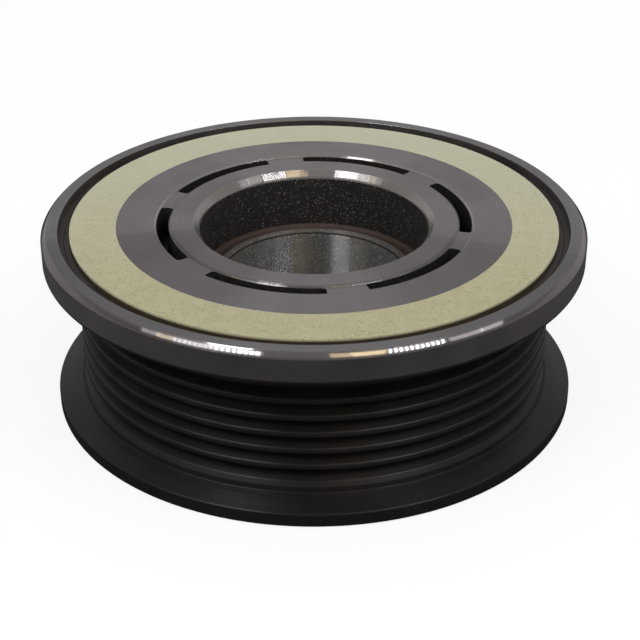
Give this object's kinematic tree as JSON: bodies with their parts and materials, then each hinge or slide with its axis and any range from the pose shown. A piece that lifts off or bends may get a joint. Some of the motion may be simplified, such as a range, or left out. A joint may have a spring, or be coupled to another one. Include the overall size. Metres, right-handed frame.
{
  "type": "compressor clutch pulley",
  "caption": "Grooved belt pulley with a slotted friction face, a ball bearing in its hub and a ring-shaped field coil nested behind the face.",
  "frame": {"origin": "on the axis of rotation, in the plane of the rear flange's end face", "axes": "+Z along the axis of rotation towards the friction face; +X through no feature; the coil's terminals stand on +Y"},
  "size_m": [0.11, 0.11, 0.0379],
  "materials": {
    "machined_steel": "turned",
    "black_steel": "satin black",
    "friction_lining": "matte moulded composite",
    "bearing_steel": "ground",
    "ball_steel": "polished",
    "cage_nylon": "moulded",
    "seal_rubber": "matte",
    "insert_steel": "pressed",
    "spring_steel": "phosphated",
    "coil_steel": "drawn",
    "plated_steel": "zinc plated",
    "bobbin_nylon": "moulded",
    "copper_wire": "enamelled copper wire",
    "sealing_resin": "cast",
    "block_nylon": "moulded",
    "terminal_brass": "tinned brass"
  },
  "bodies": {
    "fixed_side": {"bearing_inner_ring": "bearing_steel", "coil_shell": "coil_steel", "coil_bobbin": "bobbin_nylon", "coil_winding": "copper_wire", "coil_resin": "sealing_resin", "coil_plate": "plated_steel", "coil_rivets": "plated_steel", "terminal_block": "block_nylon", "coil_terminals": "terminal_brass"},
    "rotor": {"rotor": "machined_steel", "pulley_rim": "black_steel", "friction_ring": "friction_lining", "bearing_outer_ring": "bearing_steel", "bearing_circlip": "spring_steel", "front_seal": "seal_rubber", "rear_seal": "seal_rubber", "front_seal_insert": "insert_steel", "rear_seal_insert": "insert_steel"},
    "front_ball_row": {"front_balls": "ball_steel", "front_cage": "cage_nylon"},
    "rear_ball_row": {"rear_balls": "ball_steel", "rear_cage": "cage_nylon"}
  },
  "joints": [
    {"name": "rotor_spin", "type": "hinge", "parent": "fixed_side", "child": "rotor", "pos_m": [0, 0, 0.0169], "axis": [0, 0, 1], "continuous": true},
    {"name": "front_row_spin", "type": "hinge", "parent": "fixed_side", "child": "front_ball_row", "pos_m": [0, 0, 0.0204], "axis": [0, 0, 1], "continuous": true},
    {"name": "rear_row_spin", "type": "hinge", "parent": "fixed_side", "child": "rear_ball_row", "pos_m": [0, 0, 0.0134], "axis": [0, 0, 1], "continuous": true}
  ],
  "couplings": [
    {"joint": "front_row_spin", "follows": "rotor_spin", "ratio": 0.547},
    {"joint": "rear_row_spin", "follows": "rotor_spin", "ratio": 0.547}
  ]
}
